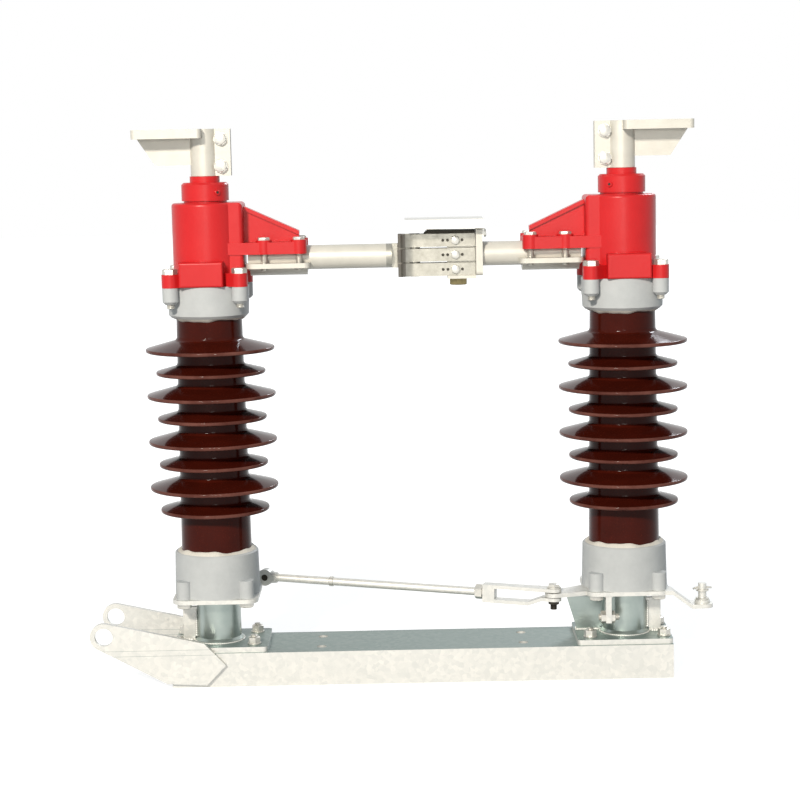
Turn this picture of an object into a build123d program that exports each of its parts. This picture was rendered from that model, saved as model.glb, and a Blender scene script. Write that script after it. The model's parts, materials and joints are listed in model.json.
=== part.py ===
from build123d import *
import os
from math import cos, radians, sin

# Single pole of a two-column, centre-break outdoor disconnector, shown closed.
# X runs along the base from the left post to the right post, Y runs away from the viewer, Z is up.
# The origin is on the floor, midway between the posts. Lengths are in millimetres.

# Overall layout
post_spacing = 600.0
overrun = 5.0
running_clearance = 0.05
body_gap = 0.3
same_place = 0.3

# Base channel, web up
channel_width = 120.0
channel_height = 50.0
channel_web = 6.0
channel_flange = 8.0
channel_fillet = 8.0
mount_hole_radius = 7.0
mount_hole_spacing_x = 296.0
mount_hole_spacing_y = 60.0

# Bearings on the channel
bearing_plate_inner = 74.0
bearing_plate_outer = 65.0
bearing_plate_width = 114.0
bearing_plate_thickness = 8.0
bearing_plate_corner = 6.0
plate_bolt_half_length = 54.0
plate_bolt_half_width = 36.0
plate_hole_radius = 5.5
housing_radius = 32.5
housing_height = 64.7
housing_foot_radius = 36.5
housing_foot_height = 6.0
housing_foot_land = 2.3
housing_rim = 2.0
spindle_radius = 20.0
spindle_lift = 2.0
stop_reach = 20.0
stop_thickness = 8.0
stop_drop = 15.0
inner_stop_top_reach = 52.0
inner_stop_foot_reach = 37.0
inner_stop_setback = 8.0

# Brackets for an earthing shaft, on the channel's left end
bracket_thickness = 8.0
bracket_eye_radius = 20.0
bracket_hole_radius = 13.0
bracket_eye_out = 162.0
bracket_eye_height = 79.0
bracket_shoulder_out = 17.0
bracket_shoulder_height = 67.0
bracket_tip_in = 14.0
bracket_tip_height = 34.0
bracket_heel_out = 14.0
bracket_heel_height = 5.0
bracket_toe_out = 72.0
bracket_toe_height = 8.0

# Turntables and cranks
table_bolt_margin = 16.7
table_corner = 18.0
table_thickness = 6.0
crank_radius = 120.0
crank_lead = 25.7
crank_root_radius = 24.0
crank_root_out = 44.0
crank_eye_radius = 13.0
pivot_hole_radius = 6.2
lug_thickness = 8.0
lug_offset = 33.0
lug_near = 38.0
lug_far = 60.0
lug_drop = 40.0
lever_width = 30.0
lever_tip_radius = 12.5
lever_setback = 45.0
lever_root = 9.0
lever_slope_start = 2.0
lever_slope_end = 30.0
lever_drop = 21.0
lever_pin_reach = 46.5
drive_pin_radius = 6.0
drive_pin_length = 24.0
drive_pin_collar_radius = 11.0
drive_pin_collar_height = 5.0

# Insulator with its two metal fittings
flange_height = 64.0
flange_bolt_circle = 128.0
flange_foot_inset = 1.5
flange_foot_height = 14.0
flange_taper = 1.5
flange_rim = 2.0
flange_boss_radius = 11.0
flange_boss_height = 26.0
bolt_hole_radius = 6.5
insulator_foot_radius = 51.5
insulator_top_radius = 47.5
insulator_visible = 343.5
insulator_socket = 32.0
socket_clearance = 0.3
shed_count = 8
shed_pitch = 33.6
shed_first_drop = 47.3
shed_large_radius = 93.5
shed_small_radius = 79.5
shed_rim = 5.0
shed_rise_share = 0.27
shed_under_share = 0.08
shed_root_fillet = 6.0
shed_rim_fillet = 2.0
cap_height = 46.0
cap_bolt_circle = 140.0
cap_rim_inset = 10.5
cap_taper = 1.5
cap_boss_radius = 11.5
cap_boss_height = 24.0
cap_chamfer = 4.0

# Head casting that carries the arm and the swivelling terminal
head_radius = 49.0
head_height = 118.5
head_wall = 9.0
head_ear_height = 19.0
head_ear_radius = 12.0
head_top_fillet = 4.0
lobe_reach = 55.0
lobe_half_width = 34.0
lobe_fillet = 6.0
box_out = 36.0
box_in = 27.0
box_front = 62.0
box_height = 36.0
box_fillet = 3.0
neck_ring_radius = 34.0
neck_ring_height = 29.0
neck_ring_groove = 3.0
collar_radius = 21.5
collar_height = 9.0
arm_rise = 37.0
saddle_root_radius = 44.0
saddle_end = 144.0
saddle_half_width = 36.0
saddle_thickness = 17.0
saddle_split = 7.0
saddle_bolt_inset = 10.0
clamp_hole_radius = 5.5
saddle_boss_radius = 9.0
saddle_boss_height = 3.0
saddle_column_radius = 11.5
web_thickness = 12.0
web_tip_rise = 15.0
web_rim_width = 20.0
web_rim_depth = 6.0
clamp_start = 58.0
clamp_end = 150.0
clamp_flange = 7.0
clamp_drop = 6.5
clamp_belly_radius = 25.0
clamp_belly_inset = 5.0

# Arms and centre contact
tube_radius = 17.5
tube_wall = 4.0
tube_start = 60.0
tube_fit = 0.2
male_bar_radius = 8.0
male_half_height = 31.0
male_neck_thickness = 9.0
male_plug_face = 33.0
male_plug_thickness = 8.0
finger_clearance = 0.5
finger_thickness = 5.0
finger_height = 18.5
finger_pitch = 21.0
finger_rows = 3
finger_flare_radius = 30.0
finger_tip_reach = 24.0
finger_root_end = 87.5
seat_start = 47.0
seat_end = 88.0
seat_plate_end = 97.5
seat_plate_half_width = 27.0
seat_plate_corner = 5.0
seat_plate_below = 30.0
seat_plate_above = 40.0
seat_foot_thickness = 4.0
seat_foot_half_width = 20.0
cover_start = 13.5
cover_height = 52.0
cover_half_width = 46.0
cover_lip = 13.5
cover_sheet = 2.0
cover_tail = 18.0

# Terminals
stem_radius = 14.0
stem_depth = 90.0
sleeve_radius = 19.5
sleeve_height = 67.0
sleeve_split = 4.0
ear_reach = 39.0
ear_thickness = 8.0
terminal_hole_radius = 5.5
terminal_hole_inset = 14.0
pad_reach = 100.0
pad_half_width = 40.0
pad_thickness = 13.0
pad_corner = 6.0
pad_hole_radius = 6.5
pad_hole_spacing = 40.0
pad_hole_end_inset = 20.0
rib_reach = 95.0
rib_foot_reach = 70.0
rib_depth = 38.0
rib_thickness = 10.0

# Tie rod between the two cranks
rod_radius = 6.0
rod_drop = 3.5
rod_eye_radius = 12.0
rod_eye_height = 14.0
rod_joint_out = 123.0
rod_joint_radius = 12.5
rod_joint_width = 14.0
rod_joint_hole = 5.0
rod_neck_length = 18.0
rod_neck_tip = 2.0
yoke_half_width = 11.0
yoke_strap = 5.0
yoke_play = 1.2
yoke_length = 95.0
yoke_hub_length = 10.0
yoke_hub_half_width = 8.0
yoke_bend_start = 16.0
yoke_bend_end = 36.0
yoke_bow = 8.0

# Levels worked out from the sizes above
half_span = post_spacing / 2
channel_length = post_spacing + 2 * bearing_plate_outer
half_channel = channel_width / 2
plate_level = channel_height
housing_level = plate_level + bearing_plate_thickness
table_level = housing_level + housing_height + body_gap
flange_level = table_level + table_thickness
insulator_level = flange_level + flange_height
cap_level = insulator_level + insulator_visible
head_level = cap_level + cap_height
arm_height = head_level + arm_rise
neck_level = head_level + head_height
collar_level = neck_level + neck_ring_height
sleeve_level = collar_level + collar_height + body_gap
terminal_top = sleeve_level + sleeve_height
saddle_level = arm_height + saddle_split
clamp_level = arm_height - clamp_drop
jaw_half_width = male_bar_radius + finger_clearance
stop_level = table_level - stop_drop
table_size = flange_bolt_circle * cos(radians(45)) + 2 * table_bolt_margin
lever_pin_out = table_size / 2 + lever_pin_reach
flange_foot_radius = flange_bolt_circle / 2 - flange_foot_inset
cap_top_radius = cap_bolt_circle / 2 - cap_rim_inset
cap_mouth_radius = cap_top_radius - cap_taper
sides = {"left": -1, "right": 1}


def slab(x0, x1, y0, y1, z0, z1):
    """Rectangular block given by its two corners."""
    return Pos((x0 + x1) / 2, (y0 + y1) / 2, (z0 + z1) / 2) * Box(x1 - x0, y1 - y0, z1 - z0)


def upright(radius, z0, z1, x=0, y=0):
    """Round bar along Z."""
    return Pos(x, y, (z0 + z1) / 2) * Cylinder(radius, z1 - z0)


def along_x(radius, x0, x1, z):
    """Round bar along X in the plane of the posts."""
    return Pos((x0 + x1) / 2, 0, z) * Rot(0, 90, 0) * Cylinder(radius, x1 - x0)


def along_y(radius, y0, y1, x, z):
    """Round bar along Y."""
    return Pos(x, (y0 + y1) / 2, z) * Rot(90, 0, 0) * Cylinder(radius, y1 - y0)


def profile_plate(face, y0, y1):
    """Plate cut to an outline in the XZ plane, from y0 to y1."""
    return Pos(0, y1, 0) * extrude(Plane.XZ * face, amount=y1 - y0)


def outline(*points):
    """Flat face inside straight edges."""
    return make_face(Polyline(*points, close=True))


def turned(face):
    """Solid of revolution about Z of a face drawn in the XZ plane."""
    return revolve(Plane.XZ * face, Axis.Z)


def corners(half_x, half_y):
    """Four places at the corners of a rectangle."""
    return [(x, y) for x in (-half_x, half_x) for y in (-half_y, half_y)]


def bolt_places(circle):
    """Four bolts on a circle of the given diameter, between the axes."""
    offset = circle / 2 * cos(radians(45))
    return corners(offset, offset)


def vertices_at(face, places):
    """The face's corners that lie at the given places."""
    return [v for v in face.vertices() if any(abs(v.X - x) + abs(v.Y - y) < same_place for x, y in places)]


def on_post(solid, side):
    """Carries a solid to its post. It is drawn with +X pointing from the post to the middle."""
    if side < 0:
        return Pos(-half_span, 0, 0) * solid
    return Pos(half_span, 0, 0) * mirror(solid, about=Plane.YZ)


def base_channel():
    half = channel_length / 2
    inner = half_channel - channel_flange
    under = channel_height - channel_web
    block = slab(-half, half, -half_channel, half_channel, 0, channel_height)
    trough = slab(-half - overrun, half + overrun, -inner, inner, -overrun, under)
    trough = fillet(trough.edges().filter_by(Axis.X).group_by(Axis.Z)[-1], channel_fillet)
    block -= trough
    for x, y in corners(mount_hole_spacing_x / 2, mount_hole_spacing_y / 2):
        block -= upright(mount_hole_radius, under - overrun, channel_height + overrun, x, y)
    for x, y in corners(plate_bolt_half_length, plate_bolt_half_width):
        hole = upright(plate_hole_radius, under - overrun, channel_height + overrun, x, y)
        block -= on_post(hole, sides["left"])
        block -= on_post(hole, sides["right"])
    return block


def bearing_plate():
    half = bearing_plate_width / 2
    plate = slab(-bearing_plate_outer, bearing_plate_inner, -half, half, plate_level, housing_level)
    plate = fillet(plate.edges().filter_by(Axis.Z), bearing_plate_corner)
    for x, y in corners(plate_bolt_half_length, plate_bolt_half_width):
        plate -= upright(plate_hole_radius, plate_level - overrun, housing_level + overrun, x, y)
    return plate


def bearing_housing():
    top = housing_level + housing_height
    shape = upright(housing_radius, housing_level, top)
    shape = chamfer(shape.edges().group_by(Axis.Z)[-1], housing_rim)
    foot = upright(housing_foot_radius, housing_level, housing_level + housing_foot_height)
    rim = foot.faces().sort_by(Axis.Z)[-1]
    foot = chamfer(rim.edges(), housing_foot_radius - housing_radius - body_gap,
                   housing_foot_height - housing_foot_land, reference=rim)
    bore = spindle_radius + running_clearance
    return shape + foot - upright(bore, housing_level - overrun, top + overrun)


def housing_room():
    """The space a stop plate leaves for the housing and its foot."""
    foot = upright(housing_foot_radius, 0, housing_level + housing_foot_height)
    return upright(housing_radius, 0, terminal_top) + foot


def outer_stop():
    """Radial stop plate on the side of the housing away from the other post."""
    reach = housing_radius + stop_reach
    plate = slab(-reach, 0, -stop_thickness, 0, housing_level, stop_level)
    return plate - housing_room()


def inner_stop():
    """Tapered stop plate on the side of the housing that faces the other post."""
    face = outline(
        (0, housing_level), (housing_radius + inner_stop_foot_reach, housing_level),
        (housing_radius + inner_stop_top_reach, stop_level), (0, stop_level))
    plate = profile_plate(face, inner_stop_setback, inner_stop_setback + stop_thickness)
    return plate - housing_room()


def earth_bracket(side):
    """Flat bar on a channel flange, with a bored eye beyond the channel's left end."""
    eye = Pos(-half_span - bracket_eye_out, bracket_eye_height)
    body = outline(
        (-half_span - bracket_shoulder_out, bracket_shoulder_height),
        (-half_span + bracket_tip_in, bracket_tip_height),
        (-half_span - bracket_heel_out, bracket_heel_height),
        (-half_span - bracket_toe_out, bracket_toe_height))
    face = make_hull((eye * Circle(bracket_eye_radius)).edges() + body.edges())
    face -= eye * Circle(bracket_hole_radius)
    inside = half_channel
    outside = half_channel + bracket_thickness
    return profile_plate(face, inside, outside) if side > 0 else profile_plate(face, -outside, -inside)


def crank_face(angle):
    """Tapered lever seen from above, from under the post to its eye."""
    root = Rot(0, 0, angle) * Pos(crank_root_out, 0) * Circle(crank_root_radius)
    eye = Rot(0, 0, angle) * Pos(crank_radius, 0) * Circle(crank_eye_radius)
    return make_hull(root.edges() + eye.edges())


def turntable(crank_angle):
    """Square plate with its crank and the spindle that turns in the housing."""
    face = RectangleRounded(table_size, table_size, table_corner) + crank_face(crank_angle)
    for x, y in bolt_places(flange_bolt_circle):
        face -= Pos(x, y) * Circle(bolt_hole_radius)
    face -= Rot(0, 0, crank_angle) * Pos(crank_radius, 0) * Circle(pivot_hole_radius)
    plate = Pos(0, 0, table_level) * extrude(face, amount=table_thickness)
    return plate + upright(spindle_radius, housing_level + spindle_lift, table_level)


def drive_lever():
    """Cranked bar from the right turntable's front corner down to the drive pin, drawn at its post."""
    top = flange_level
    low = top - lever_drop
    root = table_size / 2 - lever_root
    fall = table_size / 2 + lever_slope_start
    foot = table_size / 2 + lever_slope_end
    end = lever_pin_out + lever_width / 2
    face = outline(
        (root, top), (fall, top), (foot, low), (end, low), (end, low - table_thickness),
        (foot, low - table_thickness), (fall, top - table_thickness), (root, top - table_thickness))
    bar = profile_plate(face, -lever_setback - lever_width / 2, -lever_setback + lever_width / 2)
    tip = bar.edges().filter_by(Axis.Z).group_by(Axis.X)[-1]
    return fillet(tip, lever_tip_radius)


def stop_lug():
    """Plate that hangs from the right turntable and carries the stop screw."""
    low = table_level - lug_drop
    return slab(-lug_offset, -lug_offset + lug_thickness, -lug_far, -lug_near, low, table_level)


def right_turntable():
    shape = turntable(180 + crank_lead) + drive_lever() + stop_lug()
    return Pos(half_span, 0, 0) * shape


def left_turntable():
    return Pos(-half_span, 0, 0) * turntable(90 + crank_lead)


def drive_pin():
    level = flange_level - lever_drop
    x = half_span + lever_pin_out
    shoulder = level + drive_pin_collar_height
    collar = upright(drive_pin_collar_radius, level, shoulder, x, -lever_setback)
    return collar + upright(drive_pin_radius, level, shoulder + drive_pin_length, x, -lever_setback)


def insulator_flange():
    """Lower metal fitting: a tapering cup with a softened rim and four bolt bosses at its foot."""
    rim = flange_foot_radius - flange_taper
    face = outline(
        (0, flange_level), (flange_foot_radius, flange_level), (rim, insulator_level - flange_rim),
        (rim - flange_rim, insulator_level), (0, insulator_level))
    cup = turned(face)
    for x, y in bolt_places(flange_bolt_circle):
        cup += upright(flange_boss_radius, flange_level, flange_level + flange_boss_height, x, y)
    for x, y in bolt_places(flange_bolt_circle):
        cup -= upright(bolt_hole_radius, flange_level - overrun, flange_level + flange_foot_height, x, y)
    bore = insulator_foot_radius + socket_clearance
    return cup - upright(bore, insulator_level - insulator_socket, insulator_level + overrun)


def insulator_cap():
    """Upper metal fitting: a flared cup with four bolt bosses under its top face."""
    face = outline(
        (0, cap_level), (cap_mouth_radius - cap_chamfer, cap_level),
        (cap_mouth_radius, cap_level + cap_chamfer), (cap_top_radius, head_level), (0, head_level))
    cup = turned(face)
    for x, y in bolt_places(cap_bolt_circle):
        boss = upright(cap_boss_radius, head_level - cap_boss_height, head_level, x, y)
        cup += chamfer(boss.edges().group_by(Axis.Z)[0], cap_chamfer)
    for x, y in bolt_places(cap_bolt_circle):
        cup -= upright(bolt_hole_radius, cap_level, head_level + overrun, x, y)
    bore = insulator_top_radius + socket_clearance
    return cup - upright(bore, cap_level - overrun, cap_level + insulator_socket)


def insulator():
    """Porcelain post: a tapered core with large and small sheds in turn, cemented into both fittings."""
    bottom = insulator_level - insulator_socket
    top = cap_level + insulator_socket
    foot = insulator_foot_radius
    points = [(0, bottom), (foot, bottom), (foot, insulator_level)]
    roots = []
    rims = []
    for i in reversed(range(shed_count)):
        radius = shed_small_radius if i % 2 else shed_large_radius
        rim = cap_level - shed_first_drop - i * shed_pitch
        share = (rim - insulator_level) / insulator_visible
        core = foot + share * (insulator_top_radius - foot)
        reach = radius - core
        under = (core, rim - shed_rim / 2 + shed_under_share * reach)
        over = (core, rim + shed_rim / 2 + shed_rise_share * reach)
        edge = [(radius, rim - shed_rim / 2), (radius, rim + shed_rim / 2)]
        points += [under, *edge, over]
        roots += [under, over]
        rims += edge
    points += [(insulator_top_radius, cap_level), (insulator_top_radius, top), (0, top)]
    face = outline(*points)
    face = fillet(vertices_at(face, roots), shed_root_fillet)
    return turned(fillet(vertices_at(face, rims), shed_rim_fillet))


def head_casting():
    """Housing with bolted feet, swivel neck, front box and the webbed saddle over the arm."""
    body = upright(head_radius, head_level, neck_level)
    body = fillet(body.edges().group_by(Axis.Z)[-1], head_top_fillet)
    lobe = slab(0, lobe_reach, -lobe_half_width, lobe_half_width, head_level, neck_level)
    body += fillet(lobe.edges().group_by(Axis.X)[-1], lobe_fillet)
    box = slab(-box_out, box_in, -box_front, 0, head_level, head_level + box_height)
    body += fillet(box.edges().group_by(Axis.Y)[0], box_fillet)
    feet = Sketch()
    places = bolt_places(cap_bolt_circle)
    for first, last in ((places[0], places[3]), (places[1], places[2])):
        ear = Circle(head_ear_radius)
        feet += make_hull((Pos(*first) * ear).edges() + (Pos(*last) * ear).edges())
    for x, y in places:
        feet -= Pos(x, y) * Circle(bolt_hole_radius)
    body += Pos(0, 0, head_level) * extrude(feet, amount=head_ear_height)
    body += saddle() + neck()
    body -= upright(head_radius - head_wall, head_level, neck_level - head_wall)
    return body - upright(stem_radius + running_clearance, head_level, terminal_top)


def neck():
    """Ring and collar in which the terminal's stem swivels."""
    groove = neck_level + neck_ring_groove
    top = collar_level + collar_height
    ring = upright(neck_ring_radius, groove, collar_level)
    ring = chamfer(ring.edges().group_by(Axis.Z)[-1], neck_ring_groove)
    step = upright(neck_ring_radius - neck_ring_groove, neck_level, groove)
    return ring + step + upright(collar_radius, collar_level, top)


def saddle_bolts():
    """Four bolts through the saddle and the clamp."""
    y = saddle_half_width - saddle_bolt_inset
    first = lobe_reach + 2 * saddle_bolt_inset + saddle_boss_radius
    last = saddle_end - saddle_bolt_inset
    return [(x, sign * y) for x in (first, last) for sign in (-1, 1)]


def saddle():
    """Upper half of the arm clamp with its bolt columns and triangular web."""
    top = saddle_level + saddle_thickness
    plate = slab(0, saddle_end, -saddle_half_width, saddle_half_width, saddle_level, top)
    plate = fillet(plate.edges().filter_by(Axis.Z).group_by(Axis.X)[-1], saddle_boss_radius)
    for x, y in saddle_bolts():
        plate += upright(saddle_column_radius, saddle_level, top + saddle_boss_height, x, y)
    above = top + saddle_boss_height + overrun
    for x, y in saddle_bolts():
        plate -= upright(clamp_hole_radius, saddle_level - overrun, above, x, y)
    plate -= along_x(tube_radius + tube_fit, tube_start, saddle_end + overrun, arm_height)
    tip = saddle_end - saddle_bolt_inset
    peak = neck_level - web_rim_depth
    web = outline((0, top), (tip, top), (tip, top + web_tip_rise), (lobe_reach, peak), (0, peak))
    rim = outline(
        (tip, top + web_tip_rise - web_rim_depth), (tip, top + web_tip_rise),
        (lobe_reach, peak), (0, peak), (0, peak - web_rim_depth), (lobe_reach, peak - web_rim_depth))
    plate += profile_plate(web, -web_thickness / 2, web_thickness / 2)
    plate += profile_plate(rim, -web_rim_width / 2, web_rim_width / 2)
    return plate - upright(saddle_root_radius, saddle_level - overrun, terminal_top)


def arm_clamp():
    """Lower half of the arm clamp, with a rounded belly under the tube."""
    flange = slab(clamp_start, clamp_end, -saddle_half_width, saddle_half_width,
                  clamp_level - clamp_flange, clamp_level)
    flange = fillet(flange.edges().filter_by(Axis.Z), saddle_boss_radius)
    belly = along_x(clamp_belly_radius, clamp_start + clamp_belly_inset, clamp_end - clamp_belly_inset,
                    arm_height)
    belly -= slab(0, clamp_end, -half_span, half_span, clamp_level, terminal_top)
    shape = flange + belly
    for x, y in saddle_bolts():
        shape -= upright(clamp_hole_radius, head_level - overrun, clamp_level + overrun, x, y)
    return shape - along_x(tube_radius + tube_fit, 0, half_span, arm_height)


def arm_tube(end):
    """Tube from the clamp to the given distance from the post."""
    bore = tube_radius - tube_wall
    tube = along_x(tube_radius, tube_start, end, arm_height)
    return tube - along_x(bore, tube_start - overrun, end + overrun, arm_height)


def male_contact():
    """Upright contact bar on a tapering neck that plugs the left arm's tube."""
    plug_start = -male_plug_face - male_plug_thickness
    low = arm_height - male_half_height
    high = arm_height + male_half_height
    root = tube_radius
    neck_face = outline(
        (-male_plug_face, arm_height - root), (-finger_tip_reach, arm_height - root),
        (-male_bar_radius, low), (0, low), (0, high), (-male_bar_radius, high),
        (-finger_tip_reach, arm_height + root), (-male_plug_face, arm_height + root))
    shape = along_x(tube_radius, plug_start, -male_plug_face, arm_height)
    shape += profile_plate(neck_face, -male_neck_thickness / 2, male_neck_thickness / 2)
    return shape + upright(male_bar_radius, low, high)


def finger_face():
    """Finger seen from above: a straight blade that flares outwards past the contact line."""
    inner = jaw_half_width
    outer = inner + finger_thickness
    centre = inner + finger_flare_radius
    reach = finger_tip_reach
    large = finger_flare_radius
    small = large - finger_thickness
    inner_rise = large - (large ** 2 - reach ** 2) ** 0.5
    share = reach / large
    outer_tip = (-small * share, centre - small * (1 - share ** 2) ** 0.5)
    inner_tip = (-reach, inner + inner_rise)
    bend = share / 2
    flat = (1 - bend ** 2) ** 0.5
    edges = Curve() + [
        Line((finger_root_end, inner), (0, inner)),
        ThreePointArc((0, inner), (-large * bend, centre - large * flat), inner_tip),
        Line(inner_tip, outer_tip),
        ThreePointArc(outer_tip, (-small * bend, centre - small * flat), (0, outer)),
        Line((0, outer), (finger_root_end, outer)),
        Line((finger_root_end, outer), (finger_root_end, inner))]
    return make_face(edges.edges())


def contact_fingers(side):
    """Stack of fingers on one face of the contact seat, apart from each other."""
    face = finger_face() if side > 0 else mirror(finger_face(), about=Plane.XZ)
    row = extrude(face, amount=finger_height, dir=(0, 0, 1))
    middle = (finger_rows - 1) / 2
    levels = [arm_height + (i - middle) * finger_pitch - finger_height / 2 for i in range(finger_rows)]
    return Compound(children=[Pos(0, 0, z) * row for z in levels])


def contact_seat():
    """Block between the fingers, its end plate on the right arm's tube and its foot plate."""
    half_stack = (finger_rows - 1) / 2 * finger_pitch + finger_height / 2
    low = arm_height - half_stack
    core = slab(seat_start, seat_end, -jaw_half_width, jaw_half_width, low, arm_height + half_stack)
    plate = slab(seat_end, seat_plate_end, -seat_plate_half_width, seat_plate_half_width,
                 arm_height - seat_plate_below, arm_height + seat_plate_above)
    plate = fillet(plate.edges().filter_by(Axis.X), seat_plate_corner)
    foot = slab(seat_start, seat_end, -seat_foot_half_width, seat_foot_half_width,
                low - seat_foot_thickness, low)
    return core + plate + foot


def rain_cover():
    """Folded sheet over the fingers, hung from the seat's end plate."""
    top = arm_height + cover_height
    end = seat_plate_end + cover_sheet
    shell = slab(-cover_start, end, -cover_half_width, cover_half_width, top - cover_lip, top)
    shell -= slab(-cover_start + cover_sheet, seat_plate_end, -cover_half_width + cover_sheet,
                  cover_half_width - cover_sheet, top - cover_lip - overrun, top - cover_sheet)
    tail = slab(seat_plate_end, end, -seat_plate_half_width, seat_plate_half_width,
                top - cover_lip - cover_tail, top)
    return shell + tail


def terminal_stem():
    return upright(stem_radius, collar_level - stem_depth, terminal_top)


def terminal():
    """Split sleeve on the stem with clamping ears, line pad and rib."""
    low = sleeve_level
    half_ears = sleeve_split / 2 + ear_thickness
    shape = upright(sleeve_radius, low, terminal_top)
    shape += slab(0, ear_reach, -half_ears, half_ears, low, terminal_top)
    pad = slab(-pad_reach, 0, -pad_half_width, pad_half_width, terminal_top - pad_thickness, terminal_top)
    shape += fillet(pad.edges().filter_by(Axis.Z), pad_corner)
    under = terminal_top - pad_thickness
    foot = under - rib_depth
    rib = outline((0, under), (-rib_reach, under), (-rib_foot_reach, foot), (0, foot))
    shape += profile_plate(rib, -rib_thickness / 2, rib_thickness / 2)
    above = terminal_top + overrun
    shape -= slab(0, ear_reach + overrun, -sleeve_split / 2, sleeve_split / 2, low - overrun, above)
    shape -= upright(stem_radius, low - overrun, above)
    middle = -pad_reach + pad_hole_end_inset + pad_hole_spacing / 2
    for x, y in corners(pad_hole_spacing / 2, pad_hole_spacing / 2):
        shape -= upright(pad_hole_radius, under - overrun, above, middle + x, y)
    x = ear_reach - terminal_hole_inset
    for z in (low + terminal_hole_inset, terminal_top - terminal_hole_inset):
        shape -= along_y(terminal_hole_radius, -half_ears - overrun, half_ears + overrun, x, z)
    return shape


def rod_ends():
    """Places of the tie rod's two pivots, right then left, with the rod's axis in the yoke's middle."""
    lead = radians(crank_lead)
    along = crank_radius * cos(lead)
    across = crank_radius * sin(lead)
    right = Vector(half_span - along, -across, table_level + table_thickness / 2 - rod_drop)
    left = Vector(-half_span - across, along, flange_level + body_gap + rod_eye_height / 2)
    return right, left


def rod_frame():
    """Plane at the right pivot with its X axis along the rod."""
    right, left = rod_ends()
    along = (left - right).normalized()
    across = Vector(0, 0, 1).cross(along).normalized()
    return Plane(origin=right, x_dir=along, z_dir=along.cross(across))


def rod_yoke():
    """Straight upper strap and bowed lower strap that straddle the right crank, joined by a hub."""
    room = table_thickness / 2 + yoke_play
    over = rod_drop + room
    under = rod_drop - room
    bow = under - yoke_bow
    back = -yoke_half_width
    end = yoke_length + yoke_hub_length
    hub = yoke_length - yoke_hub_half_width
    plan = make_hull(Circle(yoke_half_width).edges() + (Pos(end, 0) * Circle(yoke_hub_half_width)).edges())
    upper = outline((back, over), (end, over), (end, over + yoke_strap), (back, over + yoke_strap))
    lower = outline(
        (back, under), (yoke_bend_start, under), (yoke_bend_end, bow), (end, bow),
        (end, bow - yoke_strap), (yoke_bend_end, bow - yoke_strap),
        (yoke_bend_start, under - yoke_strap), (back, under - yoke_strap))
    block = outline((hub, bow), (end, bow), (end, over), (hub, over))
    side = profile_plate(upper + lower + block, back, -back)
    shape = side & (Pos(0, 0, -crank_radius) * extrude(plan, amount=2 * crank_radius))
    shape -= upright(pivot_hole_radius, -crank_radius, crank_radius)
    return rod_frame().location * shape


def tie_rod():
    """Round rod from the yoke's hub to the joint near the left crank."""
    right, left = rod_ends()
    end = (left - right).length - rod_joint_out - rod_neck_length
    return rod_frame().location * along_x(rod_radius, yoke_length + yoke_hub_length, end, 0)


def rod_eye():
    """Joint with a level cross pin, and the shank from it to the eye over the left crank."""
    right, left = rod_ends()
    end = (left - right).length
    joint = end - rod_joint_out
    half = rod_joint_width / 2
    neck = Cone(rod_radius + rod_neck_tip, rod_joint_radius - rod_neck_tip, rod_neck_length,
                align=(Align.CENTER, Align.CENTER, Align.MIN))
    shape = Pos(joint - rod_neck_length, 0, 0) * Rot(0, 90, 0) * neck & slab(0, end, -half, half, -end, end)
    shape += along_y(rod_joint_radius, -half, half, joint, 0)
    shape -= along_y(rod_joint_hole, -half - overrun, half + overrun, joint, 0)
    shape += along_x(rod_radius, joint + rod_joint_radius - rod_neck_tip, end, 0)
    shape = rod_frame().location * shape
    low = left.Z - rod_eye_height / 2
    high = left.Z + rod_eye_height / 2
    shape += upright(rod_eye_radius, low, high, left.X, left.Y)
    return shape - upright(pivot_hole_radius, 0, terminal_top, left.X, left.Y)


def build():
    parts = {"base_channel": base_channel()}
    for name, side in sides.items():
        parts[f"{name}_bearing_plate"] = on_post(bearing_plate(), side)
        parts[f"{name}_bearing_housing"] = on_post(bearing_housing(), side)
        parts[f"{name}_outer_stop"] = on_post(outer_stop(), side)
        parts[f"{name}_insulator_flange"] = on_post(insulator_flange(), side)
        parts[f"{name}_insulator"] = on_post(insulator(), side)
        parts[f"{name}_insulator_cap"] = on_post(insulator_cap(), side)
        parts[f"{name}_head_casting"] = on_post(head_casting(), side)
        parts[f"{name}_arm_clamp"] = on_post(arm_clamp(), side)
        parts[f"{name}_terminal_stem"] = on_post(terminal_stem(), side)
        parts[f"{name}_terminal"] = on_post(terminal(), side)
    parts["right_inner_stop"] = on_post(inner_stop(), sides["right"])
    parts["front_earth_bracket"] = earth_bracket(-1)
    parts["rear_earth_bracket"] = earth_bracket(1)
    parts["left_turntable"] = left_turntable()
    parts["right_turntable"] = right_turntable()
    parts["drive_pin"] = drive_pin()
    parts["left_arm"] = on_post(arm_tube(half_span - male_plug_face - male_plug_thickness), sides["left"])
    parts["right_arm"] = on_post(arm_tube(half_span - seat_plate_end), sides["right"])
    parts["male_contact"] = male_contact()
    parts["front_contact_fingers"] = contact_fingers(-1)
    parts["rear_contact_fingers"] = contact_fingers(1)
    parts["contact_seat"] = contact_seat()
    parts["rain_cover"] = rain_cover()
    parts["tie_rod"] = tie_rod()
    parts["tie_rod_yoke"] = rod_yoke()
    parts["tie_rod_eye"] = rod_eye()
    return parts


os.makedirs("parts", exist_ok=True)
for node, solid in build().items():
    export_step(solid, f"parts/{node}.step")
    print(node, round(solid.volume))
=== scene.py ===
# %% [markdown]
# # A disconnector pole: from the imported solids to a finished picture
#
# The real object is one pole of an outdoor disconnector: two porcelain posts turn on a steel channel
# and swing two arms apart in the middle. The solids come from the CAD frame and stay as they are.
# Here they get their finishes, and the small things that a fitter adds: bolts, nuts, washers, weld
# beads, cement and a cotter pin.

# %% Load the frame
import json
import bpy
import numpy as np
from mathutils import Matrix, Vector


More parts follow.
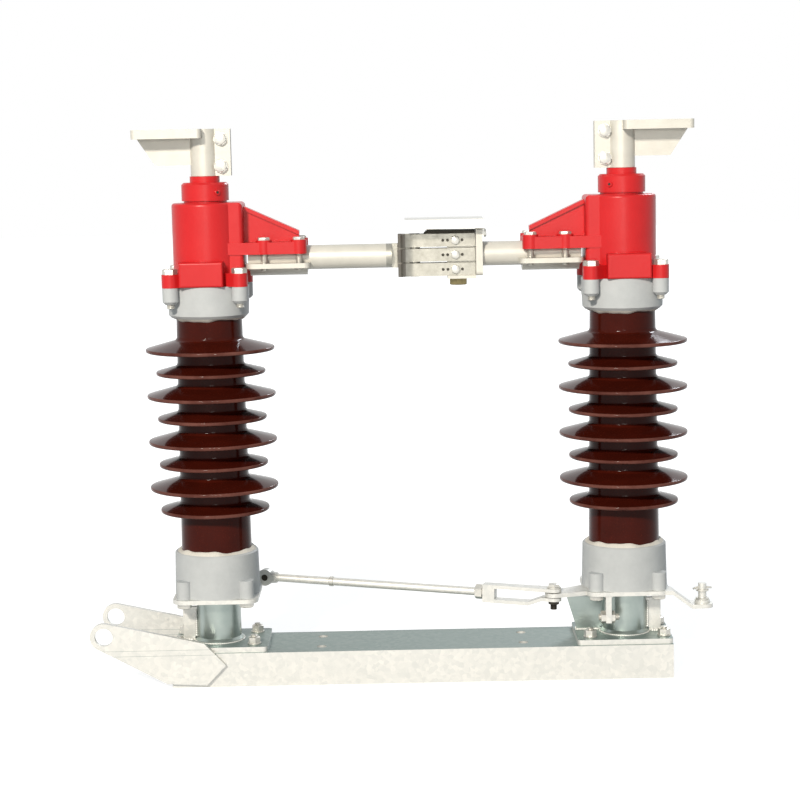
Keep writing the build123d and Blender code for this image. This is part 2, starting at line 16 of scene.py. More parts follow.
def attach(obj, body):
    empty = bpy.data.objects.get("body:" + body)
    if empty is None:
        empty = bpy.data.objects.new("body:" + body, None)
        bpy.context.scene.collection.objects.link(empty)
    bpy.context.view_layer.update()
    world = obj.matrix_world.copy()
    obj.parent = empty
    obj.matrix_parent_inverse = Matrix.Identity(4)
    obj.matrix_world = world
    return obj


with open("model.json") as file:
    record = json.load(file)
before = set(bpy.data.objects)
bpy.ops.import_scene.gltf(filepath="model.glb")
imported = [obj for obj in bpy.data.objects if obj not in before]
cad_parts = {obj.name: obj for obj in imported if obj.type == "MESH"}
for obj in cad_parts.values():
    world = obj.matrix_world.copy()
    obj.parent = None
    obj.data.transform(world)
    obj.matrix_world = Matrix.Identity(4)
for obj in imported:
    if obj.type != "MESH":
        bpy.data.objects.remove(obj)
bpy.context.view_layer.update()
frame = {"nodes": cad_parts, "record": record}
nodes = frame["nodes"]
mm = 0.001
# Sizes of the solids that several cells seat on, in millimetres: half the distance between the posts, and the
# levels of the channel's web, of the bearing plates on it and of the turntables' undersides.
half_span = 300.0
web_level, plate_level, table_underside = 50.0, 58.0, 123.0

# %% [markdown]
# ## Finishes
#
# A finish could be one flat colour, but then every face looks like the same plastic. Each material here
# starts from how its surface was made, and breaks up colour, roughness and height with noise whose size
# is a real length. The patterns read Object coordinates, which are metres in the frame of the part, so
# a length in millimetres gives the noise scale directly.

# %% Colour and node helpers
def linear(hex_code):
    """Linear RGBA of an sRGB hex colour: (c + 0.055) / 1.055 to the power 2.4 above the dark end."""
    c = np.array([int(hex_code[i:i + 2], 16) for i in (1, 3, 5)]) / 255
    c = np.where(c <= 0.04045, c / 12.92, ((c + 0.055) / 1.055) ** 2.4)
    return (*c.tolist(), 1.0)


def add(tree, kind, sockets=None, links=None, **settings):
    """Adds a shader node, sets its properties and sockets, and links outputs into its inputs."""
    node = tree.nodes.new("ShaderNode" + kind)
    for name, value in settings.items():
        setattr(node, name, value)
    for name, value in (sockets or {}).items():
        node.inputs[name].default_value = value
    for name, output in (links or {}).items():
        tree.links.new(output, node.inputs[name])
    return node


def start_material(name, **sockets):
    """New material with a Principled shader: returns it, its node tree, the shader and Object coordinates."""
    material = bpy.data.materials.new(name)
    material.use_nodes = True
    tree = material.node_tree
    shader = tree.nodes["Principled BSDF"]
    for key, value in sockets.items():
        shader.inputs[key.replace("_", " ")].default_value = value
    return material, tree, shader, add(tree, "TexCoord").outputs["Object"]


def per_metre(size_mm):
    """Noise scale for a pattern whose features repeat about every size_mm."""
    return 1 / (size_mm * mm)


print("white is", linear("#ffffff"), "and mid grey", np.round(linear("#808080"), 3))

# %% [markdown]
# ### Brown porcelain
#
# The posts are wet-process porcelain with a brown glaze. A plain glossy brown would do from afar, but a
# fired glaze pools and thins over a few centimetres, so its brown wanders, fine specks show through it,
# and its surface waves very slightly, which breaks the highlights on the sheds. The rims of the sheds are
# painted paler: partly glaze that runs off an edge as it melts, and partly a painted highlight along the rim.

# %% Brown-glazed porcelain
# Fired glaze: glassy and deep red-brown. Its rims carry a paler band, partly thinned glaze and partly a
# painted highlight. A rim is found by its distance from the post's axis, and a small shed's rim also by its
# height, since the large sheds reach past that distance.
large_shed, small_shed, rim_depth = 93.5, 79.5, 1.5
shed_period, small_shed_level = 67.2, 455.6
porcelain, tree, shader, place = start_material(
    "brown_glazed_porcelain", Roughness=0.13, IOR=1.52, Specular_IOR_Level=0.07)
pool = add(tree, "TexNoise", {"Scale": per_metre(45), "Detail": 4.0, "Roughness": 0.6}, {"Vector": place})
glaze = add(tree, "Mix", {6: linear("#2a0b06"), 7: linear("#46130a")}, {0: pool.outputs["Fac"]},
            data_type="RGBA")
speck = add(tree, "TexNoise", {"Scale": per_metre(1.6), "Detail": 2.0}, {"Vector": place})
grain = add(tree, "MapRange", {"From Min": 0.62, "From Max": 0.78, "To Max": 0.3},
            {"Value": speck.outputs["Fac"]})
body = add(tree, "Mix", {7: linear("#7a3320")}, {0: grain.outputs[0], 6: glaze.outputs[2]},
           data_type="RGBA")
axes = add(tree, "SeparateXYZ", links={"Vector": place})
side_x = add(tree, "Math", {}, {0: axes.outputs["X"]}, operation="ABSOLUTE")
post_x = add(tree, "Math", {1: half_span * mm}, {0: side_x.outputs[0]}, operation="SUBTRACT")
flat = add(tree, "CombineXYZ", links={"X": post_x.outputs[0], "Y": axes.outputs["Y"]})
reach = add(tree, "VectorMath", links={0: flat.outputs[0]}, operation="LENGTH").outputs["Value"]
large_rim = add(tree, "Math", {1: large_shed * mm, 2: rim_depth * mm}, {0: reach}, operation="COMPARE")
far = add(tree, "Math", {1: small_shed * mm, 2: rim_depth * mm}, {0: reach}, operation="COMPARE")
lift = add(tree, "Math", {1: small_shed_level * mm}, {0: axes.outputs["Z"]}, operation="SUBTRACT")
phase = add(tree, "Math", {1: 2 * np.pi * per_metre(shed_period)}, {0: lift.outputs[0]},
            operation="MULTIPLY")
turn = add(tree, "Math", {}, {0: phase.outputs[0]}, operation="COSINE")
near = add(tree, "Math", {1: 0.0}, {0: turn.outputs[0]}, operation="GREATER_THAN")
small_rim = add(tree, "Math", {}, {0: far.outputs[0], 1: near.outputs[0]}, operation="MULTIPLY")
rim = add(tree, "Math", {}, {0: large_rim.outputs[0], 1: small_rim.outputs[0]}, operation="MAXIMUM")
thin = add(tree, "MapRange", {"From Min": 0.3, "From Max": 0.7, "To Min": 0.2, "To Max": 0.9},
           {"Value": pool.outputs["Fac"]})
# Painted highlight: the rim band, varied by the pool noise, mixes the glaze towards a pale pink-brown.
rim_highlight = add(tree, "Math", {}, {0: rim.outputs[0], 1: thin.outputs[0]}, operation="MULTIPLY")
glaze_with_rim_highlight = add(tree, "Mix", {7: linear("#6c463e")}, {0: rim_highlight.outputs[0], 6: body.outputs[2]},
             data_type="RGBA")
wave = add(tree, "TexNoise", {"Scale": per_metre(14), "Detail": 1.0}, {"Vector": place})
bump = add(tree, "Bump", {"Strength": 0.12, "Distance": 0.6 * mm}, {"Height": wave.outputs["Fac"]})
tree.links.new(glaze_with_rim_highlight.outputs[2], shader.inputs["Base Color"])
tree.links.new(bump.outputs[0], shader.inputs["Normal"])
print("made", porcelain.name)

# %% [markdown]
# ### Paints
#
# The heads are sand castings under red gloss enamel, and the post's end fittings are cast iron under light
# grey paint. Paint on a casting never lies quite flat: it has orange peel a few millimetres wide over the
# slower unevenness of the mould, so two noises are added before the bump.

# %% Red enamel
# Brushed gloss enamel: an even red whose gloss wanders, faded a little in broad patches.
red_paint, tree, shader, place = start_material(
    "red_gloss_enamel_on_casting", IOR=1.5, Specular_IOR_Level=0.3)
fade = add(tree, "TexNoise", {"Scale": per_metre(60), "Detail": 5.0, "Roughness": 0.6}, {"Vector": place})
coat = add(tree, "Mix", {6: linear("#b2161a"), 7: linear("#c82527")}, {0: fade.outputs["Fac"]},
           data_type="RGBA")
peel = add(tree, "TexNoise", {"Scale": per_metre(4), "Detail": 2.0}, {"Vector": place})
mould = add(tree, "TexNoise", {"Scale": per_metre(18), "Detail": 3.0}, {"Vector": place})
both = add(tree, "Math", {}, {0: peel.outputs["Fac"], 1: mould.outputs["Fac"]}, operation="ADD")
bump = add(tree, "Bump", {"Strength": 0.25, "Distance": 0.5 * mm}, {"Height": both.outputs[0]})
gloss = add(tree, "MapRange", {"To Min": 0.24, "To Max": 0.42}, {"Value": fade.outputs["Fac"]})
tree.links.new(coat.outputs[2], shader.inputs["Base Color"])
tree.links.new(gloss.outputs[0], shader.inputs["Roughness"])
tree.links.new(bump.outputs[0], shader.inputs["Normal"])
print("made", red_paint.name)

# %% Grey paint
# Satin machinery paint: a neutral light grey, grainy from the iron under it and dusty in patches.
grey_paint, tree, shader, place = start_material(
    "light_grey_paint_on_cast_iron", Roughness=0.5, IOR=1.5, Specular_IOR_Level=0.3)
dust = add(tree, "TexNoise", {"Scale": per_metre(30), "Detail": 6.0, "Roughness": 0.65}, {"Vector": place})
tone = add(tree, "Mix", {6: linear("#a0a4a6"), 7: linear("#bbbfc0")}, {0: dust.outputs["Fac"]},
           data_type="RGBA")
mould = add(tree, "TexNoise", {"Scale": per_metre(3.5), "Detail": 4.0}, {"Vector": place})
bump = add(tree, "Bump", {"Strength": 0.35, "Distance": 0.5 * mm}, {"Height": mould.outputs["Fac"]})
tree.links.new(tone.outputs[2], shader.inputs["Base Color"])
tree.links.new(bump.outputs[0], shader.inputs["Normal"])
print("made", grey_paint.name)

# %% [markdown]
# ### Bare and coated metals
#
# The base is hot-dip galvanised, the arms and terminals are aluminium, and the fingers of the contact are
# tinned copper. All have weathered to a pale matt skin, so they are only partly metallic: a full mirror
# metal would show nothing but the white room round it.

# %% Galvanised steel
# Hot-dip zinc under a thin pale oxide: cream-white in the light, with a faint spangle of crystals. The flat
# tops of the web and the bearing plates are painted darker blue-grey: painted shade for faces the front light
# grazes.
top_depth = 0.2
zinc, tree, shader, place = start_material("hot_dip_galvanised_steel", Metallic=0.5)
cell = add(tree, "TexVoronoi", {"Scale": per_metre(6), "Randomness": 1.0}, {"Vector": place})
oxide = add(tree, "TexNoise", {"Scale": per_metre(40), "Detail": 6.0, "Roughness": 0.6}, {"Vector": place})
spangle = add(tree, "SeparateColor", links={"Color": cell.outputs["Color"]})
mixed = add(tree, "Math", {}, {0: spangle.outputs[0], 1: oxide.outputs["Fac"]}, operation="MULTIPLY")
tone = add(tree, "Mix", {6: linear("#c6c7c3"), 7: linear("#dddbd5")}, {0: mixed.outputs[0]},
           data_type="RGBA")
height = add(tree, "SeparateXYZ", links={"Vector": place})
web_top = add(tree, "Math", {1: web_level * mm, 2: top_depth * mm}, {0: height.outputs["Z"]},
              operation="COMPARE")
plate_top = add(tree, "Math", {1: plate_level * mm, 2: top_depth * mm}, {0: height.outputs["Z"]},
                operation="COMPARE")
# Painted shade: faces at the web's and the plates' top levels turn a darker blue-grey.
shaded_tops = add(tree, "Math", {}, {0: web_top.outputs[0], 1: plate_top.outputs[0]}, operation="MAXIMUM")
tone_with_painted_shade = add(tree, "Mix", {7: linear("#7f8d89")}, {0: shaded_tops.outputs[0], 6: tone.outputs[2]},
                data_type="RGBA")
rough = add(tree, "MapRange", {"To Min": 0.38, "To Max": 0.5}, {"Value": spangle.outputs[1]})
fine = add(tree, "TexNoise", {"Scale": per_metre(2.5), "Detail": 3.0}, {"Vector": place})
bump = add(tree, "Bump", {"Strength": 0.15, "Distance": 0.3 * mm}, {"Height": fine.outputs["Fac"]})
tree.links.new(tone_with_painted_shade.outputs[2], shader.inputs["Base Color"])
tree.links.new(rough.outputs[0], shader.inputs["Roughness"])
tree.links.new(bump.outputs[0], shader.inputs["Normal"])
print("made", zinc.name)

# %% Turned steel
# Bearing housings are turned from bar and zinc-plated: darker and shinier than the dipped plate, with
# turning marks round them. Real marks are 0.2 mm apart, too fine to show, so these are coarser. A wave
# texture runs through 20 radians in a unit, so they repeat every 2 pi mark lengths, or about 9 mm.
mark_length = 1.5
turned, tree, shader, place = start_material("zinc_plated_turned_steel_and_stop_shade", Metallic=0.9)
film = add(tree, "TexNoise", {"Scale": per_metre(25), "Detail": 5.0, "Roughness": 0.6}, {"Vector": place})
tone = add(tree, "Mix", {6: linear("#8c9995"), 7: linear("#aeb7b2")}, {0: film.outputs["Fac"]},
           data_type="RGBA")
rough = add(tree, "MapRange", {"To Min": 0.26, "To Max": 0.36}, {"Value": film.outputs["Fac"]})
marks = add(tree, "TexWave", {"Scale": per_metre(mark_length) / 20, "Distortion": 0.4}, {"Vector": place},
            bands_direction="Z")
bump = add(tree, "Bump", {"Strength": 0.1, "Distance": 0.2 * mm}, {"Height": marks.outputs["Fac"]})
tree.links.new(tone.outputs[2], shader.inputs["Base Color"])
tree.links.new(rough.outputs[0], shader.inputs["Roughness"])
tree.links.new(bump.outputs[0], shader.inputs["Normal"])
print("made", turned.name)

# %% Aluminium
# Drawn tube and castings, bare and weathered to a soft white-grey with a faint haze.
aluminium, tree, shader, place = start_material("weathered_aluminium", Metallic=0.2, Specular_IOR_Level=0.3)
haze = add(tree, "TexNoise", {"Scale": per_metre(22), "Detail": 5.0, "Roughness": 0.6}, {"Vector": place})
tone = add(tree, "Mix", {6: linear("#bab8af"), 7: linear("#d2d0c7")}, {0: haze.outputs["Fac"]},
           data_type="RGBA")
rough = add(tree, "MapRange", {"To Min": 0.33, "To Max": 0.43}, {"Value": haze.outputs["Fac"]})
pits = add(tree, "TexNoise", {"Scale": per_metre(1.8), "Detail": 3.0}, {"Vector": place})
bump = add(tree, "Bump", {"Strength": 0.15, "Distance": 0.25 * mm}, {"Height": pits.outputs["Fac"]})
tree.links.new(tone.outputs[2], shader.inputs["Base Color"])
tree.links.new(rough.outputs[0], shader.inputs["Roughness"])
tree.links.new(bump.outputs[0], shader.inputs["Normal"])
print("made", aluminium.name)

# %% Tinned copper
# Copper strip with a dull tin coat. Grease catches dirt in patches. The flared tips, where the blade comes
# in,
# are painted dark over 12 mm: painted shade for tips that turn away from the light.
tip_middle, tip_half = -19.0, 6.0
tinned, tree, shader, place = start_material("tinned_copper_strip", Metallic=0.8)
grime = add(tree, "TexNoise", {"Scale": per_metre(9), "Detail": 7.0, "Roughness": 0.75}, {"Vector": place})
tone = add(tree, "Mix", {6: linear("#6f6e66"), 7: linear("#bcbab0")}, {0: grime.outputs["Fac"]},
           data_type="RGBA")
along_arm = add(tree, "SeparateXYZ", links={"Vector": place})
# Painted shade: a band round X = -19 mm darkens the flared tips.
tip_shade = add(tree, "Math", {1: tip_middle * mm, 2: tip_half * mm}, {0: along_arm.outputs["X"]},
             operation="COMPARE")
tone_with_tip_shade = add(tree, "Mix", {7: linear("#75726b")}, {0: tip_shade.outputs[0], 6: tone.outputs[2]},
                data_type="RGBA")
rough = add(tree, "MapRange", {"To Min": 0.5, "To Max": 0.3}, {"Value": grime.outputs["Fac"]})
brush = add(tree, "TexNoise", {"Scale": per_metre(1.2), "Detail": 2.0}, {"Vector": place})
bump = add(tree, "Bump", {"Strength": 0.12, "Distance": 0.2 * mm}, {"Height": brush.outputs["Fac"]})
tree.links.new(tone_with_tip_shade.outputs[2], shader.inputs["Base Color"])
tree.links.new(rough.outputs[0], shader.inputs["Roughness"])
tree.links.new(bump.outputs[0], shader.inputs["Normal"])
print("made", tinned.name)

# %% Bolt zinc, dark steel and chromate
# Electroplated bolts are brighter and smoother than the dipped plate; pins, springs and screw sockets are
# oiled dark steel, whose near-black tone is also painted shade in the sockets, the spring dots and the leaf
# springs; the seat's bolt has a thin yellow chromate film, darkened with painted shade.
plated, tree, shader, place = start_material("zinc_plated_bolt_steel", Metallic=0.7)
worn = add(tree, "TexNoise", {"Scale": per_metre(7), "Detail": 4.0}, {"Vector": place})
tone = add(tree, "Mix", {6: linear("#a9aaa6"), 7: linear("#e0ddd4")}, {0: worn.outputs["Fac"]},
           data_type="RGBA")
rough = add(tree, "MapRange", {"To Min": 0.24, "To Max": 0.45}, {"Value": worn.outputs["Fac"]})
tree.links.new(tone.outputs[2], shader.inputs["Base Color"])
tree.links.new(rough.outputs[0], shader.inputs["Roughness"])

dark_steel, tree, shader, place = start_material("oiled_dark_steel", Metallic=0.7, Roughness=0.45)
oil = add(tree, "TexNoise", {"Scale": per_metre(5), "Detail": 3.0}, {"Vector": place})
tone = add(tree, "Mix", {6: linear("#24221e"), 7: linear("#45423b")}, {0: oil.outputs["Fac"]},
           data_type="RGBA")
tree.links.new(tone.outputs[2], shader.inputs["Base Color"])

shaded_chromate, tree, shader, place = start_material("yellow_chromated_zinc", Metallic=0.8, Roughness=0.4)
film = add(tree, "TexNoise", {"Scale": per_metre(6), "Detail": 3.0}, {"Vector": place})
# Partly painted shade: the yellow chromate film is mixed darker olive for a bolt that hangs in the shade
# under the seat.
tone = add(tree, "Mix", {6: linear("#6f6647"), 7: linear("#968a63")}, {0: film.outputs["Fac"]},
           data_type="RGBA")
tree.links.new(tone.outputs[2], shader.inputs["Base Color"])
print("made", plated.name, dark_steel.name, shaded_chromate.name)

# %% Cement
# Portland cement, set and dry: pale, matt and gritty.
cement, tree, shader, place = start_material("portland_cement", Roughness=0.9)
grit = add(tree, "TexNoise", {"Scale": per_metre(2.2), "Detail": 6.0, "Roughness": 0.7}, {"Vector": place})
tone = add(tree, "Mix", {6: linear("#b4b1a8"), 7: linear("#e4e1d9")}, {0: grit.outputs["Fac"]},
           data_type="RGBA")
bump = add(tree, "Bump", {"Strength": 0.6, "Distance": 0.6 * mm}, {"Height": grit.outputs["Fac"]})
tree.links.new(tone.outputs[2], shader.inputs["Base Color"])
tree.links.new(bump.outputs[0], shader.inputs["Normal"])
print("made", cement.name)

# %% Give the solids their finishes
finish_of_slot = {
    "galvanised_steel": zinc, "grey_painted_iron": grey_paint, "brown_porcelain": porcelain,
    "red_painted_casting": red_paint, "aluminium": aluminium, "tinned_copper": tinned}
# Painted shade: the right inner stop is a plate, not turned; it takes this darker finish for the shade it
# stands in under its turntable.
turned_and_shaded_nodes = ("left_bearing_housing", "right_bearing_housing", "right_inner_stop")
for part in frame["record"]["subparts"]:
    mesh = nodes[part["node"]].data
    mesh.materials.clear()
    mesh.materials.append(turned if part["node"] in turned_and_shaded_nodes else finish_of_slot[part["material_slot"]])
print({slot: material.name for slot, material in finish_of_slot.items()})

# %% [markdown]
# ## Fasteners
#
# A bolt could be modelled once by hand and copied, but it is only a stack of rings: a washer, a hexagon
# and a threaded end. So one function makes a closed stack of rings from an array of radii, and another
# carries that stack to many places at once by multiplying arrays.

# %% Rings, copies and pieces
def ring_solid(radius, height):
    """Closed solid about Z. Ring i lies at height[i] and reaches radius[i, j] at the j-th of equal angles
    round the axis; quads join ring to ring, and a flat polygon closes each end."""
    rings, sides = radius.shape
    angle = np.linspace(0, 2 * np.pi, sides, endpoint=False)
    level = np.broadcast_to(np.reshape(height, (rings, -1)), radius.shape)
    points = np.stack([radius * np.cos(angle), radius * np.sin(angle), level], -1).reshape(-1, 3)
    i, j = np.meshgrid(np.arange(rings - 1), np.arange(sides), indexing="ij")
    k = (j + 1) % sides
    quads = np.stack([i * sides + j, i * sides + k, (i + 1) * sides + k, (i + 1) * sides + j], -1)
    ends = np.stack([np.arange(sides)[::-1], (rings - 1) * sides + np.arange(sides)])
    return points, quads.reshape(-1, 4).tolist() + ends.tolist()


def stack(*shapes):
    """Joins (points, faces) pairs into one pair, shifting the face numbers."""
    starts = np.cumsum([0] + [len(points) for points, faces in shapes])
    faces = [[v + start for v in face] for start, (points, part) in zip(starts, shapes) for face in part]
    return np.concatenate([points for points, part in shapes]), faces


def copies(shape, places, axis, turn=0.0):
    """Copies a shape to each place with its Z along axis: place + x u + y v + z axis, where u and v are two
    unit vectors across the axis, turned about it by turn degrees."""
    points, faces = shape
    places = np.atleast_2d(np.asarray(places, float))
    w = np.asarray(axis, float) / np.linalg.norm(axis)
    u = np.cross([0.0, 0.0, 1.0] if abs(w[2]) < 0.9 else [0.0, 1.0, 0.0], w)
    u /= np.linalg.norm(u)
    c, s = np.cos(np.radians(turn)), np.sin(np.radians(turn))
    u, v = c * u + s * np.cross(w, u), c * np.cross(w, u) - s * u
    moved = places[:, None, :] + (points @ np.stack([u, v, w]))[None]
    numbers = [[vertex + n * len(points) for vertex in face] for n in range(len(places)) for face in faces]
    return moved.reshape(-1, 3), numbers


def piece(name, shape, material, body, sharp=35):
    """Makes a mesh object on its body from points in millimetres, smooth but for edges over sharp degrees."""
    points, faces = shape
    mesh = bpy.data.meshes.new(name)
    mesh.from_pydata((points * mm).tolist(), [], faces)
    mesh.polygons.foreach_set("use_smooth", np.ones(len(mesh.polygons), bool))
    mesh.set_sharp_from_angle(angle=np.radians(sharp))
    mesh.materials.append(material)
    made = bpy.data.objects.new(name, mesh)
    bpy.context.scene.collection.objects.link(made)
    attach(made, body)
    print(name, len(mesh.polygons), "faces on", body)
    return made


# %% Bolt parts
def round_bar(radius, length, soft=0.3):
    """Short bar or washer with softened rims: radii r - soft, r, r, r - soft at rising levels."""
    rows = np.array([radius - soft, radius, radius, radius - soft])
    return ring_solid(np.repeat(rows[:, None], 28, 1), np.array([0, soft, length - soft, length]))


def hexagon(flats, height, base=0.0):
    """Hexagon with a 30 degree chamfer: its reach at an angle is half the flats over the cosine of the angle
    from the nearest flat's middle, and near the top no more than a cone that shrinks towards the top."""
    sides = 36
    angle = np.linspace(0, 2 * np.pi, sides, endpoint=False)
    flat = flats / 2 / np.cos((angle + np.pi / 6) % (np.pi / 3) - np.pi / 6)
    level = np.array([0, 0.6, 0.84, 0.9, 0.95, 1.0]) * height
    cone = 0.475 * flats + (height - level[:, None]) * np.tan(np.radians(60))
    return ring_solid(np.minimum(flat[None], cone), base + level)


def thread(radius, length, pitch, base=0.0):
    """Screw end: the radius falls by half a pitch and rises again once a pitch, and the wave climbs one
    pitch a turn; the last ring is chamfered."""
    sides = 14
    rows = max(4, int(round(length / pitch * 5)))
    level = np.linspace(0, length, rows)
    angle = np.linspace(0, 2 * np.pi, sides, endpoint=False)
    wave = np.abs(((level[:, None] / pitch - angle[None] / (2 * np.pi)) % 1) - 0.5) * 2
    reach = radius - 0.5 * pitch * wave
    reach[-1] = radius - 0.8 * pitch
    return ring_solid(reach, base + level)


def bolt(size, washer_radius=0.0, end=0.0):
    """Washer, hexagon and threaded end for a metric size, one on the other from the seat outwards."""
    thick = 0.2 * size if washer_radius else 0.0
    parts = [hexagon(1.6 * size, 0.65 * size if end == 0 else 0.85 * size, thick)]
    if washer_radius:
        parts.append(round_bar(washer_radius, thick))
    if end:
        parts.append(thread(size / 2, end, 0.15 * size, thick + 0.85 * size))
    return stack(*parts)


up, down = (0, 0, 1), (0, 0, -1)
front, back = (0, -1, 0), (0, 1, 0)
corner = np.array([(-1, -1), (-1, 1), (1, -1), (1, 1)])
posts = {"left": -half_span, "right": half_span}


def around(side, offsets, level):
    """Places at a post: offsets are along X towards the other post and along Y."""
    offsets = np.atleast_2d(np.asarray(offsets, float))
    x = posts[side] - np.sign(posts[side]) * offsets[:, 0]
    return np.stack([x, offsets[:, 1], np.full(len(x), float(level))], -1)


print("an M12 bolt has", len(bolt(12, 12)[1]), "faces")

# %% [markdown]
# ### Bolts at the bearings, posts and heads
#
# Each bearing plate is bolted to the channel with nuts on top, each turntable carries its post on four
# bolts from below, and the red head stands on the porcelain's cap on four more.

# %% Bearing plates, turntables and heads
plate_holes, web_underside = corner * [54, 36], 44
plate_bolts = [copies(bolt(10, 10, 3), around(side, plate_holes, plate_level), up, 12) for side in posts]
web_heads = [copies(bolt(10, 10), around(side, plate_holes, web_underside), down, 20) for side in posts]
piece("bearing_plate_bolts", stack(*plate_bolts, *web_heads), plated, "base")
flange_circle, cap_circle = 128, 140
flange_holes = corner * (flange_circle / 2 * np.cos(np.radians(45)))
cap_holes = corner * (cap_circle / 2 * np.cos(np.radians(45)))
ear_top, boss_underside = 601.5, 558.5
for side in posts:
    below = copies(bolt(12), around(side, flange_holes, table_underside), down, 8)
    ears = copies(bolt(12), around(side, cap_holes, ear_top), up, 30)
    ends = copies(thread(6, 6, 1.75), around(side, cap_holes, boss_underside), down)
    piece(f"{side}_post_bolts", stack(below, ears, ends), plated, f"{side}_post")

# %% [markdown]
# ### Bolts of the arm clamps and terminals
#
# The arm lies between the red saddle and a loose clamp, so four bolts bridge the gap between them and
# their shanks show. The terminal's sleeve is squeezed onto its stem by two bolts through its ears.

# %% Arm clamps and terminals
clamp_places = np.array([(x, y) for x in (84, 134) for y in (-26, 26)])
saddle_top, clamp_shank = 646.5, 44
ear_out, ear_levels, ear_half = 25, (753.3, 792.3), np.array([0, 10, 0])
for side in posts:
    heads = copies(hexagon(16, 4), around(side, clamp_places, saddle_top), up, 15)
    shanks = copies(thread(5, clamp_shank, 1.5), around(side, clamp_places, saddle_top), down)
    piece(f"{side}_clamp_bolts", stack(heads, shanks), plated, f"{side}_post")
    ear_places = np.concatenate([around(side, (ear_out, 0), z) for z in ear_levels])
    heads = copies(bolt(10, 10), ear_places - ear_half, front, 10)
    nuts = copies(bolt(10, 10, 5), ear_places + ear_half, back, 25)
    shanks = copies(thread(5, 20, 1.5), ear_places - ear_half, back)
    piece(f"{side}_terminal_bolts", stack(heads, nuts, shanks), plated, f"{side}_terminal")

# %% [markdown]
# ### The contact jaw
#
# Each row of fingers is held by one bolt, with the ends of its springs showing as dark dots beside it; the
# flat dots are partly painted shade for the holes the springs sit in.
# The seat hangs on a large bolt underneath, and two small ones hold the rain cover's tail to the seat.
# A pack of dark leaf springs lies on the fingers under the cover; their dark tone is partly painted shade
# for the gap under the cover. A leaf is a flat section carried along a line, and a cotter and a weld bead
# further down are round sections, so one function makes them all.

# %% A section along a path
ripple_length = 3.0


def swept(path, outline, ripple=0.0, closed=False):
    """Section carried along a path: each outline point (a, b) goes to path + a u + b v, where u lies level
    across the path and v stands on both; the section swells by the share ripple once a ripple_length."""
    path = np.asarray(path, float)
    step = np.roll(path, -1, 0) - np.roll(path, 1, 0) if closed else np.gradient(path, axis=0)
    t = step / np.linalg.norm(step, axis=1, keepdims=True)
    guide = np.where(np.abs(t[:, 2:]) < 0.9, [[0.0, 0.0, 1.0]], [[1.0, 0.0, 0.0]])
    u = np.cross(guide, t)
    u /= np.linalg.norm(u, axis=1, keepdims=True)
    v = np.cross(t, u)
    run = np.concatenate([[0], np.cumsum(np.linalg.norm(np.diff(path, axis=0), axis=1))])
    swell = 1 + ripple * np.cos(2 * np.pi * run / ripple_length)
    ring = outline[None, :, :1] * u[:, None] + outline[None, :, 1:] * v[:, None]
    points = path[:, None] + swell[:, None, None] * ring
    rings, sides = points.shape[:2]
    i, j = np.meshgrid(np.arange(rings if closed else rings - 1), np.arange(sides), indexing="ij")
    k, n = (j + 1) % sides, (i + 1) % rings
    quads = np.stack([i * sides + j, i * sides + k, n * sides + k, n * sides + j], -1)
    faces = quads.reshape(-1, 4).tolist()
    if not closed:
        faces += [np.arange(sides)[::-1].tolist(), ((rings - 1) * sides + np.arange(sides)).tolist()]
    return points.reshape(-1, 3), faces


def round_section(radius):
    """Ten points on a circle."""
    turn = np.linspace(0, 2 * np.pi, 10, endpoint=False)
    return radius * np.stack([np.cos(turn), np.sin(turn)], -1)


print("a wire of 25 steps has", len(swept(np.arange(75.0).reshape(25, 3), round_section(1))[1]), "faces")

# %% Contact bolts and spring ends
rows = np.array([598.5, 619.5, 640.5])
jaw_bolt_x, finger_face = 58.7, -13.5
tail_places, seat_place = [(99.5, -17, 650), (99.5, 17, 650)], (62.8, 0, 585.25)
spring_x = [40.8, 47.6, 68.5]
jaw = np.stack([np.full(3, jaw_bolt_x), np.full(3, finger_face), rows], -1)
flip = np.array([1, -1, 1])
heads = [copies(bolt(7), jaw, front, 10), copies(bolt(7), jaw * flip, back, 10)]
tail = copies(bolt(6), tail_places, (1, 0, 0), 5)
piece("contact_bolts", stack(*heads, tail), plated, "right_post")
piece("contact_seat_bolt", copies(bolt(15), seat_place, down, 5), shaded_chromate, "right_post")
# Partly painted shade: flat dark discs stand for the spring ends and the shade in their holes.
dots = np.stack([np.tile(spring_x, 3), np.full(9, finger_face), np.repeat(rows, 3)], -1)
spring_end = round_bar(2.1, 0.8)
piece("contact_spring_ends_and_hole_shade", stack(copies(spring_end, dots, front), copies(spring_end, dots * flip, back)),
      dark_steel, "right_post")

# %% Leaf springs
share = np.linspace(0, 1, 24)
leaf_section = np.array([(13, -0.5), (13, 0.5), (12.7, 0.8), (-12.7, 0.8), (-13, 0.5), (-13, -0.5),
                         (-12.7, -0.8), (12.7, -0.8)])
leaf_root, leaf_length, leaf_step = 87, 73, 2
leaf_level, leaf_pitch, leaf_bend = 650.6, 1.7, 0.9
# Partly painted shade: the dark leaves are springs and also fill the gap under the cover with a dark tone.
leaves = []
for n in range(3):
    x = leaf_root - (leaf_length - leaf_step * n) * share
    z = leaf_level + leaf_pitch * n + leaf_bend * share ** 2
    leaves.append(swept(np.stack([x, 0 * x, z], -1), leaf_section))
piece("contact_leaf_springs_and_painted_shade", stack(*leaves), dark_steel, "right_post")

# %% [markdown]
# ### The tie rod
#
# The rod is screwed into its yoke and locked with a nut, and a slim sleeve marks where its two halves
# meet. Its pivots turn on bolts through the cranks, and a pin crosses the joint near the left post. All
# of these lie along or across one slanting line, so they are placed by how far they are from its pivots.

